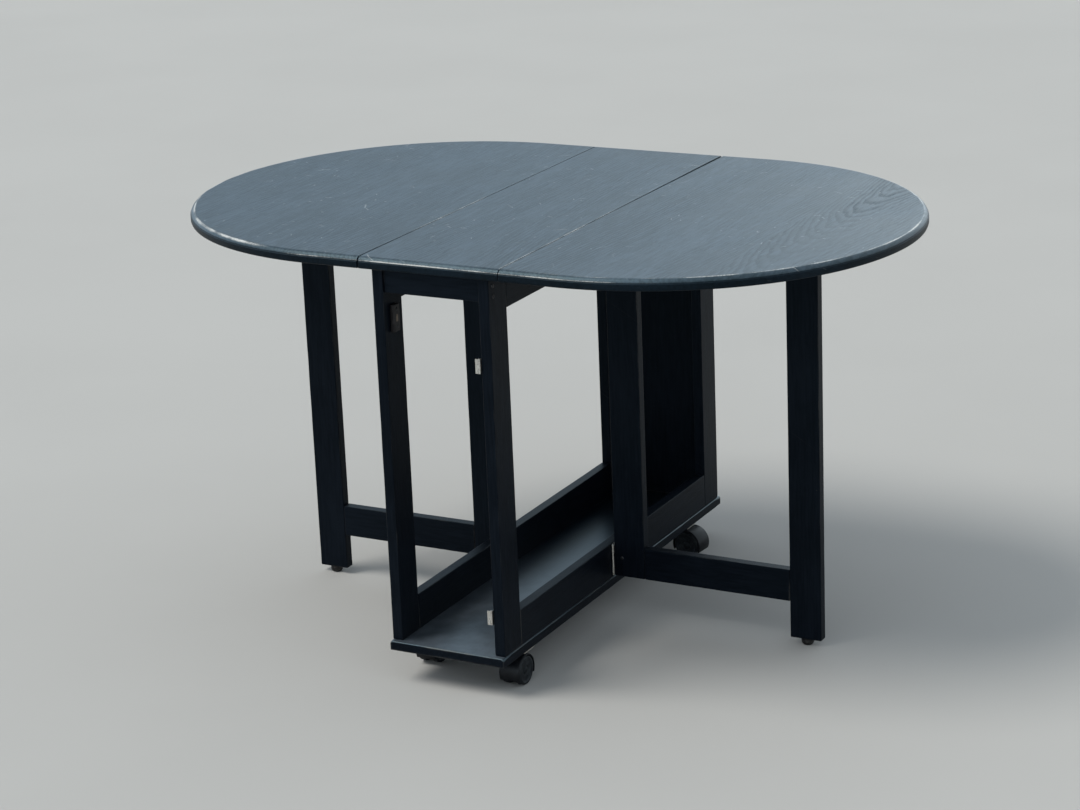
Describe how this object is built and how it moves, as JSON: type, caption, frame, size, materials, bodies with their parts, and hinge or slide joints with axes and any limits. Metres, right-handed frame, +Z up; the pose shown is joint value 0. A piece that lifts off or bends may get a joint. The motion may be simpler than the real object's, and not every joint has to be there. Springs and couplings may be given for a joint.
{
  "type": "folding gate-leg table",
  "caption": "Folding gate-leg table with a black wooden stadium-shaped top, hinged leaves carried by swinging gates, and a narrow open carcass on casters.",
  "frame": {"origin": "centre of the footprint on the floor", "axes": "+X across the seams towards the right leaf, +Y along the seams towards the closed far end of the carcass, +Z up"},
  "size_m": [1.32, 0.872, 0.74],
  "materials": {
    "top_wood": "black stain under satin lacquer, open grain",
    "frame_wood": "black satin paint",
    "nickel": "nickel plated sheet steel",
    "catch_plastic": "dark brown moulded plastic",
    "magnet_steel": "bare magnet bar",
    "hood_plastic": "black moulded plastic",
    "wheel_plastic": "dark grey moulded plastic, worn",
    "glide_plastic": "black moulded plastic"
  },
  "bodies": {
    "carcass": {"base_board": "frame_wood", "centre_panel": "top_wood", "door_catch_body": "catch_plastic", "door_catch_magnet": "magnet_steel", "door_lower_hinge_plate": "nickel", "door_upper_hinge_plate": "nickel", "far_end_panel": "frame_wood", "far_left_caster_plate": "nickel", "far_left_post": "frame_wood", "far_right_caster_plate": "nickel", "far_right_post": "frame_wood", "left_apron": "frame_wood", "left_bottom_rail": "frame_wood", "left_gate_lower_hinge_plate": "nickel", "left_gate_upper_hinge_plate": "nickel", "left_leaf_far_hinge_plate": "nickel", "left_leaf_near_hinge_plate": "nickel", "near_left_caster_plate": "nickel", "near_left_post": "frame_wood", "near_right_caster_plate": "nickel", "near_right_post": "frame_wood", "near_top_rail": "frame_wood", "right_apron": "frame_wood", "right_bottom_rail": "frame_wood", "right_gate_lower_hinge_plate": "nickel", "right_gate_upper_hinge_plate": "nickel", "right_leaf_far_hinge_plate": "nickel", "right_leaf_near_hinge_plate": "nickel"},
    "door_lower_hinge_flap_body": {"door_lower_hinge_flap": "nickel"},
    "door_upper_hinge_flap_body": {"door_upper_hinge_flap": "nickel"},
    "far_left_caster_swivel": {"far_left_caster_hood": "hood_plastic"},
    "far_left_caster_roll": {"far_left_caster_wheels": "wheel_plastic"},
    "far_right_caster_swivel": {"far_right_caster_hood": "hood_plastic"},
    "far_right_caster_roll": {"far_right_caster_wheels": "wheel_plastic"},
    "left_gate_body": {"left_gate_glide": "glide_plastic", "left_gate_leg": "frame_wood", "left_gate_lower_hinge_flap": "nickel", "left_gate_lower_rail": "frame_wood", "left_gate_stile": "frame_wood", "left_gate_upper_hinge_flap": "nickel", "left_gate_upper_rail": "frame_wood"},
    "left_leaf_body": {"left_leaf": "top_wood", "left_leaf_far_hinge_flap": "nickel", "left_leaf_near_hinge_flap": "nickel"},
    "near_left_caster_swivel": {"near_left_caster_hood": "hood_plastic"},
    "near_left_caster_roll": {"near_left_caster_wheels": "wheel_plastic"},
    "near_right_caster_swivel": {"near_right_caster_hood": "hood_plastic"},
    "near_right_caster_roll": {"near_right_caster_wheels": "wheel_plastic"},
    "right_gate_body": {"right_gate_glide": "glide_plastic", "right_gate_leg": "frame_wood", "right_gate_lower_hinge_flap": "nickel", "right_gate_lower_rail": "frame_wood", "right_gate_stile": "frame_wood", "right_gate_upper_hinge_flap": "nickel", "right_gate_upper_rail": "frame_wood"},
    "right_leaf_body": {"right_leaf": "top_wood", "right_leaf_far_hinge_flap": "nickel", "right_leaf_near_hinge_flap": "nickel"}
  },
  "joints": [
    {"name": "right_gate_swing", "type": "hinge", "parent": "carcass", "child": "right_gate_body", "pos_m": [0.11, -0.0272, 0.4], "axis": [0, 0, -1], "range_deg": [0, 90]},
    {"name": "right_leaf_lift", "type": "hinge", "parent": "carcass", "child": "right_leaf_body", "pos_m": [0.129, 0, 0.7174], "axis": [0, -1, 0], "range_deg": [0, 2.5]},
    {"name": "left_gate_swing", "type": "hinge", "parent": "carcass", "child": "left_gate_body", "pos_m": [-0.11, -0.0272, 0.4], "axis": [0, 0, 1], "range_deg": [0, 90]},
    {"name": "left_leaf_lift", "type": "hinge", "parent": "carcass", "child": "left_leaf_body", "pos_m": [-0.129, 0, 0.7174], "axis": [0, 1, 0], "range_deg": [0, 2.5]},
    {"name": "near_right_swivel", "type": "hinge", "parent": "carcass", "child": "near_right_caster_swivel", "pos_m": [0.09, -0.342, 0.045], "axis": [0, 0, 1], "continuous": true},
    {"name": "near_right_roll", "type": "hinge", "parent": "near_right_caster_swivel", "child": "near_right_caster_roll", "pos_m": [0.09, -0.358, 0.025], "axis": [1, 0, 0], "continuous": true},
    {"name": "near_left_swivel", "type": "hinge", "parent": "carcass", "child": "near_left_caster_swivel", "pos_m": [-0.09, -0.342, 0.045], "axis": [0, 0, 1], "continuous": true},
    {"name": "near_left_roll", "type": "hinge", "parent": "near_left_caster_swivel", "child": "near_left_caster_roll", "pos_m": [-0.09, -0.326, 0.025], "axis": [-1, 0, 0], "continuous": true},
    {"name": "far_right_swivel", "type": "hinge", "parent": "carcass", "child": "far_right_caster_swivel", "pos_m": [0.09, 0.307, 0.045], "axis": [0, 0, 1], "continuous": true},
    {"name": "far_right_roll", "type": "hinge", "parent": "far_right_caster_swivel", "child": "far_right_caster_roll", "pos_m": [0.10594, 0.30561, 0.025], "axis": [0.0872, 0.9962, 0], "continuous": true},
    {"name": "far_left_swivel", "type": "hinge", "parent": "carcass", "child": "far_left_caster_swivel", "pos_m": [-0.09, 0.307, 0.045], "axis": [0, 0, 1], "continuous": true},
    {"name": "far_left_roll", "type": "hinge", "parent": "far_left_caster_swivel", "child": "far_left_caster_roll", "pos_m": [-0.09547, 0.32204, 0.025], "axis": [-0.9397, -0.342, 0], "continuous": true},
    {"name": "door_lower_flap_swing", "type": "hinge", "parent": "carcass", "child": "door_lower_hinge_flap_body", "pos_m": [0.086, -0.4295, 0.143], "axis": [0, 0, 1], "range_deg": [-88, 135]},
    {"name": "door_upper_flap_swing", "type": "hinge", "parent": "carcass", "child": "door_upper_hinge_flap_body", "pos_m": [0.086, -0.4295, 0.576], "axis": [0, 0, 1], "range_deg": [-88, 135]}
  ]
}
